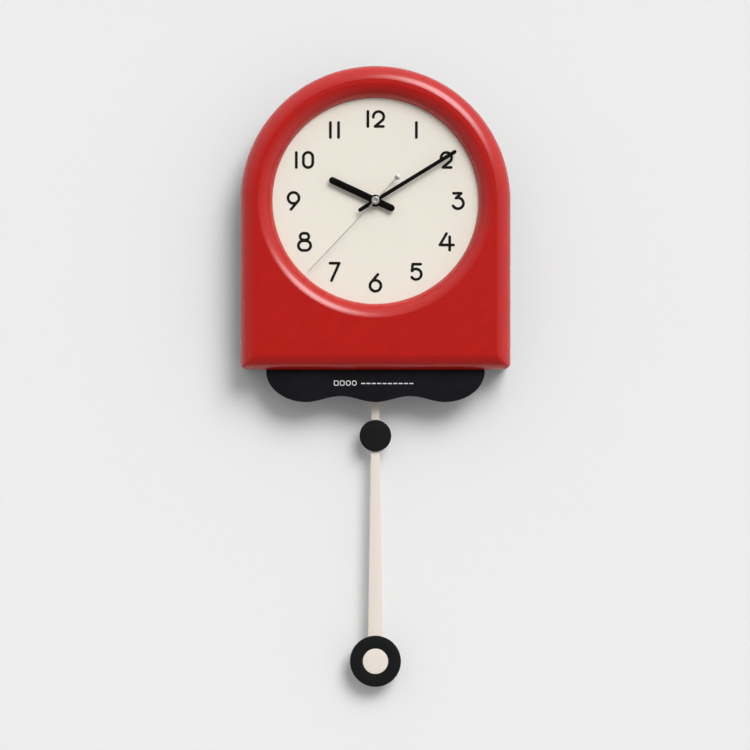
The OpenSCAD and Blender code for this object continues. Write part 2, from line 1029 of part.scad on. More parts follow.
module drive_screws() {
    color([0.6, 0.6, 0.62])
    at_dial()
        union() {
            for (p = drive_ears)
                back_screw(p, 2.8, 1.4, 1.2, drive_front - 2, 5);
            back_screw([-37.75, drive_bottom + 3], 2, 1, 0.8, drive_back, 8);
            back_screw([14, drive_top - 3.4], 2, 1, 0.8, drive_back, 8);
        }
}

module drive_battery() {
    color([0.75, 0.6, 0.2])
    at_dial()
        cell(drive_cell);
}

module drive_contacts() {
    color([0.7, 0.7, 0.7])
    at_dial()
        cell_contacts(drive_cell);
}

module drive_coil() {
    color([0.75, 0.4, 0.2])
    at_dial()
        difference() {
            union() {
                peg([0, magnet_y], 6.4, drive_back + 1.5, 31);
                peg([0, magnet_y], 7, drive_back + 1.3, drive_back + 2.3);
                peg([0, magnet_y], 7, 30.4, 31.4);
            }
            peg([0, magnet_y], 1.8, drive_back, 33);
        }
}

module drive_board() {
    color([0.1, 0.3, 0.15])
    at_dial()
        union() {
            box([9, -141, 24], [18, -116, 25]);
            box([11, -135, 24.5], [16, -130, 26.2]);
            peg([13.5, -122], 2.2, 24.5, 28);
        }
}

module pivot_pin() {
    color([0.65, 0.66, 0.68])
    at_dial()
        union() {
            peg([0, -pivot_drop], pivot_r, 13, drive_back + 1);
            peg([0, -pivot_drop], 2.6, arm_high + 0.1, drive_back);
            peg([0, -pivot_drop], 2.6, 15, arm_low - 0.1);
            peg([0, -pivot_drop], 2.6, 21.5, 22.3);
        }
}

module swing_arm() {
    color([0.9, 0.9, 0.88])
    at_dial()
        difference() {
            union() {
                slab(arm_low, arm_high)
                    union() {
                        translate([0, -pivot_drop])
                            circle(r = 4);
                        translate([-3, magnet_y])
                            square([6, -pivot_drop - magnet_y]);
                        translate([0, magnet_y])
                            circle(r = 5);
                    }
                peg([0, hook_y], 1.5, rod_low - 0.6, arm_low + 0.4);
                peg([0, hook_y], 2.6, rod_low - 1.4, rod_low - 0.5);
            }
            peg([0, -pivot_drop], pivot_bore_r, arm_low - 1, arm_high + 1);
        }
}

module swing_magnet() {
    color([0.5, 0.5, 0.52])
    at_dial()
        peg([0, magnet_y], 4, arm_high, 20.1);
}

// Half width of the rod at a distance below the dial centre.
function rod_half(drop) = (rod_w - rod_taper * (bob_drop - drop)) / 2;

module pendulum_rod() {
    color([0.92, 0.89, 0.84])
    at_dial()
        slab(rod_low, rod_high)
            difference() {
                union() {
                    polygon([[-rod_half(-hook_y), hook_y], [-rod_half(bob_drop), -bob_drop],
                        [rod_half(bob_drop), -bob_drop], [rod_half(-hook_y), hook_y]]);
                    translate([0, hook_y])
                        circle(r = 4);
                    translate([0, -bob_drop])
                        circle(r = rod_half(bob_drop));
                }
                translate([0, hook_y])
                    circle(r = 1.55);
            }
}

// Section of a flat disc or ring with softened front edges.
module disc_section(inner, outer, low, high, soft) {
    translate([inner, low])
        square([outer - inner, high - soft - low]);
    translate([inner + (inner > 0 ? soft : 0), low])
        square([outer - soft - inner - (inner > 0 ? soft : 0), high - low]);
    translate([outer - soft, high - soft])
        circle(r = soft);
    if (inner > 0)
        translate([inner + soft, high - soft])
            circle(r = soft);
}

module accent_disc() {
    color([0.12, 0.12, 0.12])
    at_dial()
        translate([0, -accent_drop, 0])
            rotate_extrude()
                disc_section(0, accent_r, rod_high, rod_high + 2.2, 0.6);
}

module bob_ring() {
    color([0.1, 0.1, 0.11])
    at_dial()
        translate([0, -bob_drop, 0])
            rotate_extrude()
                disc_section(bob_centre_r, bob_r, rod_high, rod_high + 2.4, 0.6);
}

module bob_centre() {
    color([0.9, 0.87, 0.83])
    at_dial()
        translate([0, -bob_drop, 0])
            rotate_extrude()
                disc_section(0, bob_centre_r - 0.05, rod_high, rod_high + 2.2, 0.4);
}

front_case();
back_cover();
cover_screws();
hanger_plate();
hanger_rivets();
dial_plate();
dial_numerals();
dial_screws();
scalloped_plate();
plate_mark();
plate_screws();
movement_front_shell();
movement_back_shell();
fixing_nut();
rubber_washer();
hour_wheel();
motion_wheel();
cannon_pinion();
minute_drive_wheel();
third_wheel();
second_wheel();
intermediate_wheel();
rotor();
stator();
movement_coil();
movement_board();
clock_battery();
clock_contacts();
setting_knob();
hour_hand();
minute_hand();
second_hand();
second_cap();
drive_case();
drive_lid();
drive_screws();
drive_battery();
drive_contacts();
drive_coil();
drive_board();
pivot_pin();
swing_arm();
swing_magnet();
pendulum_rod();
accent_disc();
bob_ring();
bob_centre();
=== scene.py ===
"""Looks of the pendulum wall clock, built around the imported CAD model.

Shapes are given in millimetres in the drawing frame of the dial: x to the right, y up from the
dial's centre, and d out of the wall. at() turns them into metres in the row frame.
"""

import math

import bmesh
import bpy
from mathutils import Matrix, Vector


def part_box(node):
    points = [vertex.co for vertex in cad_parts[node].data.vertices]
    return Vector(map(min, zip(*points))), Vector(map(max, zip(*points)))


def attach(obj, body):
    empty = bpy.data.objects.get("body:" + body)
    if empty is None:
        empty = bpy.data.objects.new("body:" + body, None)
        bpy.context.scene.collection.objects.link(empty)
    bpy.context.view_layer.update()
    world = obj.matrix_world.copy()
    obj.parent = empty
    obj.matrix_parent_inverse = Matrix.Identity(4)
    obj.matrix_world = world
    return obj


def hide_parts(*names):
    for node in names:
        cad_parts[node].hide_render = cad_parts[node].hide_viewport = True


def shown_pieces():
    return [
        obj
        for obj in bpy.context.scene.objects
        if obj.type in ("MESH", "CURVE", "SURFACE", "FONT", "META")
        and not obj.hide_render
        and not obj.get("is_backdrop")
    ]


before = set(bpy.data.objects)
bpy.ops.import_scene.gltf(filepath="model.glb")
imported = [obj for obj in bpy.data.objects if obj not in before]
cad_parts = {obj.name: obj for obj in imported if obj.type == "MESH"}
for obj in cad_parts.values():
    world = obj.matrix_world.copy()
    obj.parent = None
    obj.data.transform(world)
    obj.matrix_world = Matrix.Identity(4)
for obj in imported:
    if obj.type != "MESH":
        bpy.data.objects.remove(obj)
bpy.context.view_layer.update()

MM = 0.001
DIAL_LOW, DIAL_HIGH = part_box("dial_plate")
DIAL_X = (DIAL_LOW.x + DIAL_HIGH.x) / 2
DIAL_Z = (DIAL_LOW.z + DIAL_HIGH.z) / 2


def at(x, y, d):
    """Point in the row frame, from millimetres right of, above and out of the dial's centre."""
    return Vector((DIAL_X + x * MM, -d * MM, DIAL_Z + y * MM))


CASE_LOW, CASE_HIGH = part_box("front_case")
HALF_W = (CASE_HIGH.x - CASE_LOW.x) / 2 / MM
DEPTH = -CASE_LOW.y / MM
DROP = (DIAL_Z - CASE_LOW.z) / MM
EDGE_R, EDGE_SLOPE = 15.7, math.radians(9)
EDGE_IN = EDGE_R * (1 - math.sin(EDGE_SLOPE))
EDGE_D = DEPTH - EDGE_R * math.cos(EDGE_SLOPE)


# ---------------------------------------------------------------- materials

def new_material(name):
    material = bpy.data.materials.new(name)
    material.use_nodes = True
    nodes = material.node_tree.nodes
    nodes.clear()
    shader = nodes.new("ShaderNodeBsdfPrincipled")
    output = nodes.new("ShaderNodeOutputMaterial")
    material.node_tree.links.new(shader.outputs[0], output.inputs[0])
    return material, shader


class Graph:
    """Short names for the node calls that every material repeats."""

    def __init__(self, name):
        self.material, self.shader = new_material(name)
        self.nodes = self.material.node_tree.nodes
        self.links = self.material.node_tree.links

    def link(self, a, b):
        self.links.new(a, b)

    def place(self, scale=(1, 1, 1)):
        """Object coordinates in millimetres, stretched by scale."""
        if not hasattr(self, "coords"):
            self.coords = self.nodes.new("ShaderNodeTexCoord").outputs["Object"]
        mapping = self.nodes.new("ShaderNodeMapping")
        mapping.inputs["Scale"].default_value = [1000 * s for s in scale]
        self.link(self.coords, mapping.inputs["Vector"])
        return mapping.outputs[0]

    def noise(self, size, detail=3, roughness=0.55, stretch=(1, 1, 1), distortion=0.0):
        """Noise from 0 to 1 whose blobs are about size millimetres across."""
        node = self.nodes.new("ShaderNodeTexNoise")
        node.inputs["Scale"].default_value = 1 / size
        node.inputs["Detail"].default_value = detail
        node.inputs["Roughness"].default_value = roughness
        node.inputs["Distortion"].default_value = distortion
        self.link(self.place(stretch), node.inputs["Vector"])
        return node.outputs["Fac"]

    def ramp(self, value, stops, interpolation="LINEAR"):
        node = self.nodes.new("ShaderNodeValToRGB")
        node.color_ramp.interpolation = interpolation
        while len(node.color_ramp.elements) < len(stops):
            node.color_ramp.elements.new(0.5)
        for element, (position, colour) in zip(node.color_ramp.elements, stops):
            element.position = position
            element.color = (*colour, 1)
        self.link(value, node.inputs[0])
        return node.outputs[0]

    def spread(self, value, low, high, from_low=0.3, from_high=0.7):
        node = self.nodes.new("ShaderNodeMapRange")
        node.inputs["From Min"].default_value = from_low
        node.inputs["From Max"].default_value = from_high
        node.inputs["To Min"].default_value = low
        node.inputs["To Max"].default_value = high
        self.link(value, node.inputs["Value"])
        return node.outputs[0]

    def maths(self, kind, a, b=None):
        node = self.nodes.new("ShaderNodeMath")
        node.operation = kind
        for socket, value in zip(node.inputs, (a, b)):
            if value is None:
                continue
            if isinstance(value, (int, float)):
                socket.default_value = value
            else:
                self.link(value, socket)
        return node.outputs[0]

    def painted_bounce_shade(self, tone, shade_colour, where=None):
        """tone as it is seen, with shade_colour in its place for the light that it throws on the wall:
        painted shade that darkens the wall's shadows beside the piece.
        """
        thrown = self.nodes.new("ShaderNodeLightPath").outputs["Is Diffuse Ray"]
        if where is not None:
            thrown = self.maths("MULTIPLY", thrown, where)
        mix = self.nodes.new("ShaderNodeMix")
        mix.data_type = "RGBA"
        mix.inputs[7].default_value = (*shade_colour, 1)
        self.link(thrown, mix.inputs[0])
        self.link(tone, mix.inputs[6])
        return mix.outputs[2]

    def bump(self, height, distance):
        """Bump of distance millimetres."""
        node = self.nodes.new("ShaderNodeBump")
        node.inputs["Strength"].default_value = 1.0
        node.inputs["Distance"].default_value = distance * MM
        self.link(height, node.inputs["Height"])
        self.link(node.outputs[0], self.shader.inputs["Normal"])

    def put(self, **sockets):
        """Uniform values go on the shader's own sockets, and textures are linked to them."""
        for name, value in sockets.items():
            socket = self.shader.inputs[name.replace("_", " ")]
            if isinstance(value, bpy.types.NodeSocket):
                self.link(value, socket)
            elif isinstance(value, tuple):
                socket.default_value = (*value, 1)
            else:
                socket.default_value = value


def shade(colour, factor):
    return tuple(min(c * factor, 1) for c in colour)


def moulded(name, colour, rough, grain, depth, mottle=0.06, level=0.5):
    """Moulded or painted plastic: faint mottling, a fine grain and a slightly uneven gloss."""
    g = Graph(name)
    tones = [(0.3, shade(colour, 1 - mottle)), (0.7, shade(colour, 1 + mottle))]
    g.put(
        Base_Color=g.ramp(g.noise(9, 4), tones),
        Roughness=g.spread(g.noise(3.5, 3), rough - 0.05, rough + 0.05),
        Specular_IOR_Level=level,
    )
    g.bump(g.noise(grain, 2), depth)
    return g.material


def brushed(name, colour, rough, stretch=(0.08, 1, 1), depth=0.01, metallic=1.0):
    """Metal with fine brush lines along one axis and a little tarnish."""
    g = Graph(name)
    lines = g.noise(0.18, 3, stretch=stretch)
    tarnish = g.noise(5, 4)
    g.put(
        Base_Color=g.ramp(tarnish, [(0.3, shade(colour, 0.88)), (0.7, colour)]),
        Roughness=g.spread(lines, rough - 0.07, rough + 0.1),
        Metallic=metallic,
    )
    g.bump(lines, depth)
    return g.material


RED_DARK = (0.44, 0.0042, 0.0016)
RED_LIGHT = (0.475, 0.0056, 0.0026)
RED_ROUGH = 0.25
# colour of the case's sides in the light they throw on the wall: painted shade on the wall beside the case
PAINTED_SIDE_SHADE = (0.05, 0.045, 0.04)
# colour of the rod in the light it throws on the wall: painted shade on the wall beside the rod
PAINTED_ROD_SHADE = (0.52, 0.49, 0.46)
CREAM_DIAL = (0.83, 0.785, 0.69)
CREAM_ROD = (0.81, 0.735, 0.655)


def red_paint():
    """Satin red lacquer with slow changes of tone and the faintest orange peel. Its roughness stays
    under 0.274, where the denoiser's guide changes and would leave flecks."""
    g = Graph("red_lacquer")
    tone = g.ramp(g.noise(14, 4), [(0.3, RED_DARK), (0.7, RED_LIGHT)])
    # the case's sides are given a dark grey in the light they throw on the wall behind: painted shade that
    # darkens the wall's shadow beside the case and takes out its red bounce
    split = g.nodes.new("ShaderNodeSeparateXYZ")
    g.link(g.place(), split.inputs[0])
    painted_shade_sides = g.maths("GREATER_THAN", split.outputs[1], -EDGE_D)
    g.put(
        Base_Color=g.painted_bounce_shade(tone, PAINTED_SIDE_SHADE, painted_shade_sides),
        Roughness=g.spread(g.noise(5, 4), RED_ROUGH - 0.025, RED_ROUGH + 0.018),
        Specular_IOR_Level=0.6,
    )
    g.bump(g.noise(4, 1), 0.0016)
    return g.material


def dial_paper():
    """Cream printed card: short fibres in the surface and a slow change of tone."""
    g = Graph("cream_card")
    fibres = g.noise(0.5, 4, 0.6, stretch=(1, 1, 0.35), distortion=0.6)
    tone = g.noise(22, 3)
    mix = g.maths("ADD", g.maths("MULTIPLY", fibres, 0.45), g.maths("MULTIPLY", tone, 0.55))
    g.put(
        Base_Color=g.ramp(mix, [(0.35, shade(CREAM_DIAL, 0.975)), (0.65, CREAM_DIAL)]),
        Roughness=g.spread(fibres, 0.55, 0.68),
        Specular_IOR_Level=0.3,
    )
    g.bump(fibres, 0.012)
    return g.material


def cream_lacquer():
    """Cream lacquer over a fine wood grain that runs down the rod. The light it throws on the wall takes a
    darker grey, which is painted shade on the wall beside the rod.
    """
    g = Graph("cream_lacquer")
    grain = g.noise(0.9, 4, 0.6, stretch=(1, 1, 0.04), distortion=0.25)
    tone = g.noise(11, 3)
    mix = g.maths("ADD", g.maths("MULTIPLY", grain, 0.6), g.maths("MULTIPLY", tone, 0.4))
    cream = g.ramp(mix, [(0.32, shade(CREAM_ROD, 0.955)), (0.68, CREAM_ROD)])
    g.put(
        # painted shade: the rod's light on the wall comes from the darker grey
        Base_Color=g.painted_bounce_shade(cream, PAINTED_ROD_SHADE),
        Roughness=g.spread(grain, 0.38, 0.5),
        Specular_IOR_Level=0.4,
    )
    g.bump(grain, 0.012)
    return g.material


def printed(name, colour, rough):
    """Screen-printed ink: slightly uneven in tone, with a fine stipple."""
    g = Graph(name)
    stipple = g.noise(0.22, 3)
    g.put(
        Base_Color=g.ramp(stipple, [(0.3, shade(colour, 0.8)), (0.7, colour)]),
        Roughness=g.spread(g.noise(2, 2), rough - 0.05, rough + 0.05),
        Specular_IOR_Level=0.12,
    )
    g.bump(stipple, 0.006)
    return g.material


def windings():
    """Enamelled copper wire wound round the coil: fine turns, with painted shade between them and painted
    highlights on their crests.
    """
    g = Graph("copper_windings")
    wave = g.nodes.new("ShaderNodeTexWave")
    wave.wave_type = "BANDS"
    wave.bands_direction = "DIAGONAL"
    wave.inputs["Scale"].default_value = 1.1
    wave.inputs["Distortion"].default_value = 0.7
    wave.inputs["Detail"].default_value = 1
    g.link(g.place(), wave.inputs["Vector"])
    turns = wave.outputs["Fac"]
    g.put(
        # the colour runs from dark between the turns to bright on their crests: painted shade and painted
        # highlight
        Base_Color=g.ramp(turns, [(0.15, (0.16, 0.045, 0.014)), (0.75, (0.62, 0.24, 0.09))]),
        Roughness=g.spread(turns, 0.45, 0.25, 0, 1),
        Metallic=0.9,
    )
    g.bump(turns, 0.12)
    return g.material


def circuit_board():
    """Green solder mask over copper tracks."""
    g = Graph("solder_mask")
    cells = g.nodes.new("ShaderNodeTexVoronoi")
    cells.distance = "MANHATTAN"
    cells.feature = "DISTANCE_TO_EDGE"
    cells.inputs["Scale"].default_value = 0.4
    g.link(g.place(), cells.inputs["Vector"])
    tracks = g.spread(cells.outputs["Distance"], 1, 0, 0.1, 0.16)
    g.put(
        Base_Color=g.ramp(tracks, [(0.2, (0.012, 0.09, 0.03)), (0.8, (0.04, 0.2, 0.06))]),
        Roughness=g.spread(g.noise(1.5, 3), 0.25, 0.4),
    )
    g.bump(tracks, 0.05)
    return g.material


def battery_jacket(first, last, name):
    """Plain dry cell: a dark jacket, a copper-coloured band at one end, and steel end caps."""
    g = Graph(name)
    along = g.nodes.new("ShaderNodeSeparateXYZ")
    g.link(g.place(), along.inputs[0])
    x = along.outputs[0]
    bands = [
        (0.0, (0.5, 0.5, 0.5)),
        (0.012, (0.03, 0.03, 0.034)),
        (0.66, (0.52, 0.27, 0.1)),
        (0.955, (0.55, 0.55, 0.56)),
    ]
    jacket = g.ramp(g.spread(x, 0, 1, first, last), bands, "CONSTANT")
    mix = g.nodes.new("ShaderNodeMix")
    mix.data_type = "RGBA"
    mix.blend_type = "MULTIPLY"
    mix.inputs[0].default_value = 0.35
    g.link(jacket, mix.inputs[6])
    g.link(g.ramp(g.noise(1.4, 3), [(0.3, (0.6, 0.6, 0.6)), (0.7, (1, 1, 1))]), mix.inputs[7])
    g.put(
        Base_Color=mix.outputs[2],
        Roughness=g.spread(g.noise(2.5, 3), 0.22, 0.36),
        Metallic=0.55,
    )
    g.bump(g.noise(0.6, 2), 0.006)
    return g.material


DARK_COVER = (0.032, 0.032, 0.035)
BLACK_SHELL = (0.022, 0.022, 0.024)
BLACK_PLATE = (0.0090, 0.0090, 0.0115)
BLACK_HAND = (0.0036, 0.0032, 0.003)
BLACK_DISC = (0.0080, 0.0084, 0.0090)
BLACK_INK = (0.007, 0.006, 0.0055)
WHITE_GEAR = (0.78, 0.78, 0.74)

LOOKS = {
    "red_case": red_paint(),
    "dark_cover": moulded("dark_cover_plastic", DARK_COVER, 0.58, 0.6, 0.03),
    "black_shell": moulded("black_shell_plastic", BLACK_SHELL, 0.45, 0.8, 0.03),
    "cream_dial": dial_paper(),
    "black_print": printed("black_ink", BLACK_INK, 0.55),
    "white_print": printed("white_ink", (0.82, 0.82, 0.82), 0.5),
    "black_plate": moulded("black_satin_plate", BLACK_PLATE, 0.5, 0.5, 0.01, mottle=0.12, level=0.07),
    "black_hand": moulded("black_enamel", BLACK_HAND, 0.42, 0.3, 0.004, mottle=0.15, level=0.06),
    "silver_hand": brushed("spun_aluminium", (0.66, 0.64, 0.62), 0.35),
    "cream_rod": cream_lacquer(),
    "black_disc": moulded("black_lacquer_disc", BLACK_DISC, 0.48, 0.4, 0.006, mottle=0.12, level=0.12),
    "screw_steel": brushed("zinc_screw", (0.62, 0.62, 0.6), 0.32, stretch=(1, 0.3, 1)),
    "hanger_steel": brushed("galvanised_steel", (0.52, 0.54, 0.56), 0.4, stretch=(1, 1, 0.08)),
    "brass": brushed("turned_brass", (0.72, 0.53, 0.24), 0.3, stretch=(1, 0.2, 1)),
    "rubber": moulded("black_rubber", (0.025, 0.025, 0.025), 0.75, 0.5, 0.03),
    "white_gear": moulded("white_acetal", WHITE_GEAR, 0.4, 0.5, 0.008, mottle=0.03),
    "magnet": brushed("ferrite_magnet", (0.16, 0.16, 0.17), 0.42, stretch=(1, 1, 1), metallic=0.6),
    "copper_wire": windings(),
    "board": circuit_board(),
    "contact": brushed("nickel_contact", (0.68, 0.67, 0.64), 0.26, stretch=(1, 1, 0.1)),
}
for cell in ("clock_battery", "drive_battery"):
    low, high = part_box(cell)
    LOOKS["cell " + cell] = battery_jacket(low.x / MM, high.x / MM, cell + "_jacket")

for name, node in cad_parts.items():
    slot_name = node.material_slots[0].material.name.split(".")[0]
    look = LOOKS["cell " + name] if slot_name == "cell" else LOOKS[slot_name]
    for material_slot in node.material_slots:
        material_slot.material = look


# ---------------------------------------------------------------- mesh helpers

def piece(name, mesh, body, slot, *stands_for, sharp=35):
    """Puts a finished mesh in the scene as a piece that stands for CAD nodes."""
    mesh.materials.append(LOOKS[slot])
    for polygon in mesh.polygons:
        polygon.use_smooth = True
    mesh.set_sharp_from_angle(angle=math.radians(sharp))
    obj = bpy.data.objects.new(name, mesh)
    bpy.context.scene.collection.objects.link(obj)
    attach(obj, body)
    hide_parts(*stands_for)


def mesh_from(name, points, faces):
    mesh = bpy.data.meshes.new(name)
    mesh.from_pydata([tuple(p) for p in points], [], faces)
    mesh.validate()
    bm = bmesh.new()
    bm.from_mesh(mesh)
    bmesh.ops.remove_doubles(bm, verts=bm.verts, dist=1e-7)
    bmesh.ops.recalc_face_normals(bm, faces=bm.faces)
    bm.to_mesh(mesh)
    bm.free()
    return mesh


def lathe(name, profile, centre, steps=128):
    """Solid of revolution about the axis out of the wall. profile is a closed loop of (radius, d)."""
    points, faces = [], []
    n = len(profile)
    for i in range(steps):
        a = 2 * math.pi * i / steps
        for r, d in profile:
            points.append(at(centre[0] + r * math.cos(a), centre[1] + r * math.sin(a), d))
    for i in range(steps):
        j = (i + 1) % steps
        for k in range(n):
            m = (k + 1) % n
            if profile[k][0] < 1e-6 and profile[m][0] < 1e-6:
                continue
            faces.append((i * n + k, i * n + m, j * n + m, j * n + k))
    return mesh_from(name, points, faces)


def arc(centre, r, start, end, steps=5):
    """Points of an arc from one angle to another, in degrees."""
    angles = [math.radians(start + (end - start) * i / steps) for i in range(steps + 1)]
    return [(centre[0] + r * math.cos(a), centre[1] + r * math.sin(a)) for a in angles]


def mirrored(points):
    """The same points on the other side of the middle line, in reverse order."""
    return [(-x, y) for x, y in reversed(points)]


def slab(name, outlines, low, high, soft, steps=3, place=None):
    """Plate between two heights, with holes, and with its rims rounded by soft.

    outlines[0] is the outer loop and the others are holes, as lists of (x, y)."""
    bm = bmesh.new()
    loops = []
    for outline in outlines:
        verts = [bm.verts.new((x, y, high)) for x, y in outline]
        loops.append([bm.edges.new((verts[i - 1], verts[i])) for i in range(len(verts))])
    edges = [edge for loop in loops for edge in loop]
    bmesh.ops.triangle_fill(bm, use_beauty=True, use_dissolve=False, edges=edges)
    bmesh.ops.recalc_face_normals(bm, faces=bm.faces)
    if sum(f.normal.z for f in bm.faces) < 0:
        bmesh.ops.reverse_faces(bm, faces=bm.faces)
    grown = bmesh.ops.extrude_face_region(bm, geom=list(bm.faces), use_keep_orig=True)
    lower = [g for g in grown["geom"] if isinstance(g, bmesh.types.BMVert)]
    bmesh.ops.translate(bm, verts=lower, vec=(0, 0, low - high))
    bmesh.ops.recalc_face_normals(bm, faces=bm.faces)

    def is_rim(edge):
        if len(edge.link_faces) != 2 or abs(edge.verts[0].co.z - edge.verts[1].co.z) >= 1e-6:
            return False
        return abs(edge.link_faces[0].normal.dot(edge.link_faces[1].normal)) < 0.5

    bmesh.ops.bevel(
        bm, geom=[e for e in bm.edges if is_rim(e)], offset=soft, offset_type="OFFSET",
        segments=steps, profile=0.5, affect="EDGES", clamp_overlap=True)
    for vert in bm.verts:
        x, y, d = vert.co
        if place:
            x, y = place(x, y)
        vert.co = at(x, y, d)
    bmesh.ops.recalc_face_normals(bm, faces=bm.faces)
    mesh = bpy.data.meshes.new(name)
    bm.to_mesh(mesh)
    bm.free()
    return mesh


def circle(x, y, r, steps=48):
    angles = [2 * math.pi * i / steps for i in range(steps)]
    return [(x + r * math.cos(a), y + r * math.sin(a)) for a in angles]


def turned(clockwise):
    """Turns a hand drawn upright to its direction, in degrees clockwise from twelve."""
    a = -math.radians(clockwise)
    return lambda x, y: (x * math.cos(a) - y * math.sin(a), x * math.sin(a) + y * math.cos(a))


# ---------------------------------------------------------------- case

CORNER_R = 7.5
LIP_R = 13.0
LIP_SLOPE = math.radians(10)
OPENING_R = 95.7
LIP_RING_R = OPENING_R + LIP_R
LIP_ARC_R = LIP_R / (math.cos(LIP_SLOPE) - math.sin(LIP_SLOPE))
LIP_ARC_AT = (LIP_RING_R + LIP_ARC_R * math.sin(LIP_SLOPE), DEPTH - LIP_ARC_R * math.cos(LIP_SLOPE))
WALL_T = 2.5
MITRE_SOFT = 2.4
SLOT_HALF, SLOT_LOW, SLOT_HIGH = 102.5, 4.0, 30.3
PLATE_SCREW_XS, PLATE_SCREW_Y = (-92, -50, 50, 92), 7 - DROP
PLATE_BACK, PLATE_FRONT = 27, 30
POST_R, POST_BORE_R = 3.5, 1.25
DIAL_POST_R, DIAL_POST_BORE_R = 2.5, 0.9


def soft_min(a, b, k):
    h = max(k - abs(a - b), 0) / k
    return min(a, b) - h * h * k / 4


def edge_height(inward):
    """Height of the front over the wall at this distance in from the case's outline."""
    t = min(max(inward, 0.0), EDGE_IN)
    return EDGE_D + math.sqrt(max(EDGE_R ** 2 - (EDGE_R - t) ** 2, 0))


def case_surface():
    """The case's outer skin as columns that run from the back rim, over the rounded edge and the flat
    front, down the lip to the dial. The lower corners are filled with columns that end on the mitre."""
    points, faces = [], []

    def grid(columns, is_open=lambda i, k: False):
        """Joins columns of equal length by quads, except where is_open says there's no wall."""
        base = len(points)
        rows = len(columns[0])
        for column in columns:
            points.extend(column)
        for i in range(len(columns) - 1):
            for k in range(rows - 1):
                a = base + i * rows + k
                if not is_open(i, k):
                    faces.append((a, a + 1, a + rows + 1, a + rows))

    wall_rows = [0.0, SLOT_LOW, 12.0, 22.0, SLOT_HIGH, EDGE_D]
    edge_steps = 18
    edge_turn = math.pi / 2 - EDGE_SLOPE
    insets = [EDGE_R * (1 - math.cos(edge_turn * i / edge_steps)) for i in range(edge_steps + 1)]
    lip_steps = 20
    lip_turn = math.pi / 2 - 2 * LIP_SLOPE
    lip_angles = [LIP_SLOPE + lip_turn * i / lip_steps for i in range(lip_steps + 1)]

    def column(outer, inner, ring):
        """outer is a point on the outline, inner the same point moved in by EDGE_IN, and ring a point
        of the lip's ring."""
        made = [at(*outer, d) for d in wall_rows]
        for t in insets[1:]:
            f = t / EDGE_IN
            x = outer[0] + (inner[0] - outer[0]) * f
            y = outer[1] + (inner[1] - outer[1]) * f
            made.append(at(x, y, edge_height(t)))
        gap = math.hypot(inner[0] - ring[0], inner[1] - ring[1])
        support = min(1.0, gap / 3)
        for f in (support / gap, 0.5, 1 - support / gap):
            made.append(at(inner[0] + (ring[0] - inner[0]) * f, inner[1] + (ring[1] - inner[1]) * f, DEPTH))
        size = math.hypot(*ring)
        for a in lip_angles:
            r = LIP_ARC_AT[0] - LIP_ARC_R * math.sin(a)
            made.append(at(ring[0] / size * r, ring[1] / size * r, LIP_ARC_AT[1] + LIP_ARC_R * math.cos(a)))
        return made

    # around the arch, then down the right side, along the underside and up the left side
    flat_w = HALF_W - EDGE_IN
    flat_drop = DROP - EDGE_IN
    corner_angle = math.degrees(math.atan2(flat_drop, flat_w))
    sides, arch, base = [], [], []
    for i in range(181):
        c, s = math.cos(math.radians(i)), math.sin(math.radians(i))
        arch.append(column(*((r * c, r * s) for r in (HALF_W, flat_w, LIP_RING_R))))
    steps = 36
    for side in (1, -1):
        made = []
        for i in range(steps + 1):
            a = math.radians(corner_angle * i / steps)
            y = -flat_w * math.tan(a)
            ring = (side * LIP_RING_R * math.cos(a), -LIP_RING_R * math.sin(a))
            made.append(column((side * HALF_W, y), (side * flat_w, y), ring))
        sides.append(made)
    # the underside has columns exactly at the ends of the slot
    steps = 52
    spread = math.radians(90 - corner_angle)
    xs = [flat_drop * math.tan(spread * (2 * i / steps - 1)) for i in range(steps + 1)]
    for end in (-SLOT_HALF, SLOT_HALF):
        xs[min(range(len(xs)), key=lambda i: abs(xs[i] - end))] = end
    for x in xs:
        size = math.hypot(x, flat_drop)
        ring = (LIP_RING_R * x / size, -LIP_RING_R * flat_drop / size)
        base.append(column((x, -DROP), (x, -flat_drop), ring))
    grid(arch)
    for made in sides:
        grid(made)
    grid(base, lambda i, k: 1 <= k <= 3 and abs(xs[i] + xs[i + 1]) / 2 < SLOT_HALF)

    # corner columns: from the outline to the mitre, at falling distances from the mitre's inner end
    reaches = [EDGE_IN - (EDGE_IN - CORNER_R) * i / 8 for i in range(9)]
    reaches += [CORNER_R * (1 - math.sin(math.radians(45 * i / 8))) for i in range(1, 9)]

    for side in (1, -1):
        for below in (False, True):
            columns = []
            for reach in reaches:
                start = 0.0
                if reach < CORNER_R:
                    start = CORNER_R - math.sqrt(max(CORNER_R ** 2 - (CORNER_R - reach) ** 2, 0))
                made = []
                soft = MITRE_SOFT * min(1, (EDGE_IN - reach) / 4) + 1e-6
                top = edge_height(soft_min(start, reach, soft))
                for d in wall_rows[:-1]:
                    made.append((start, reach, d * top / wall_rows[-1]))
                for inset in insets:
                    t = start + (reach - start) * inset / EDGE_IN
                    made.append((t, reach, edge_height(soft_min(t, reach, soft))))
                out = []
                for t, other, d in made:
                    across, up = (other, t) if below else (t, other)
                    out.append(at(side * (HALF_W - across), up - DROP, d))
                columns.append(out)
            grid(columns)
    return points, faces


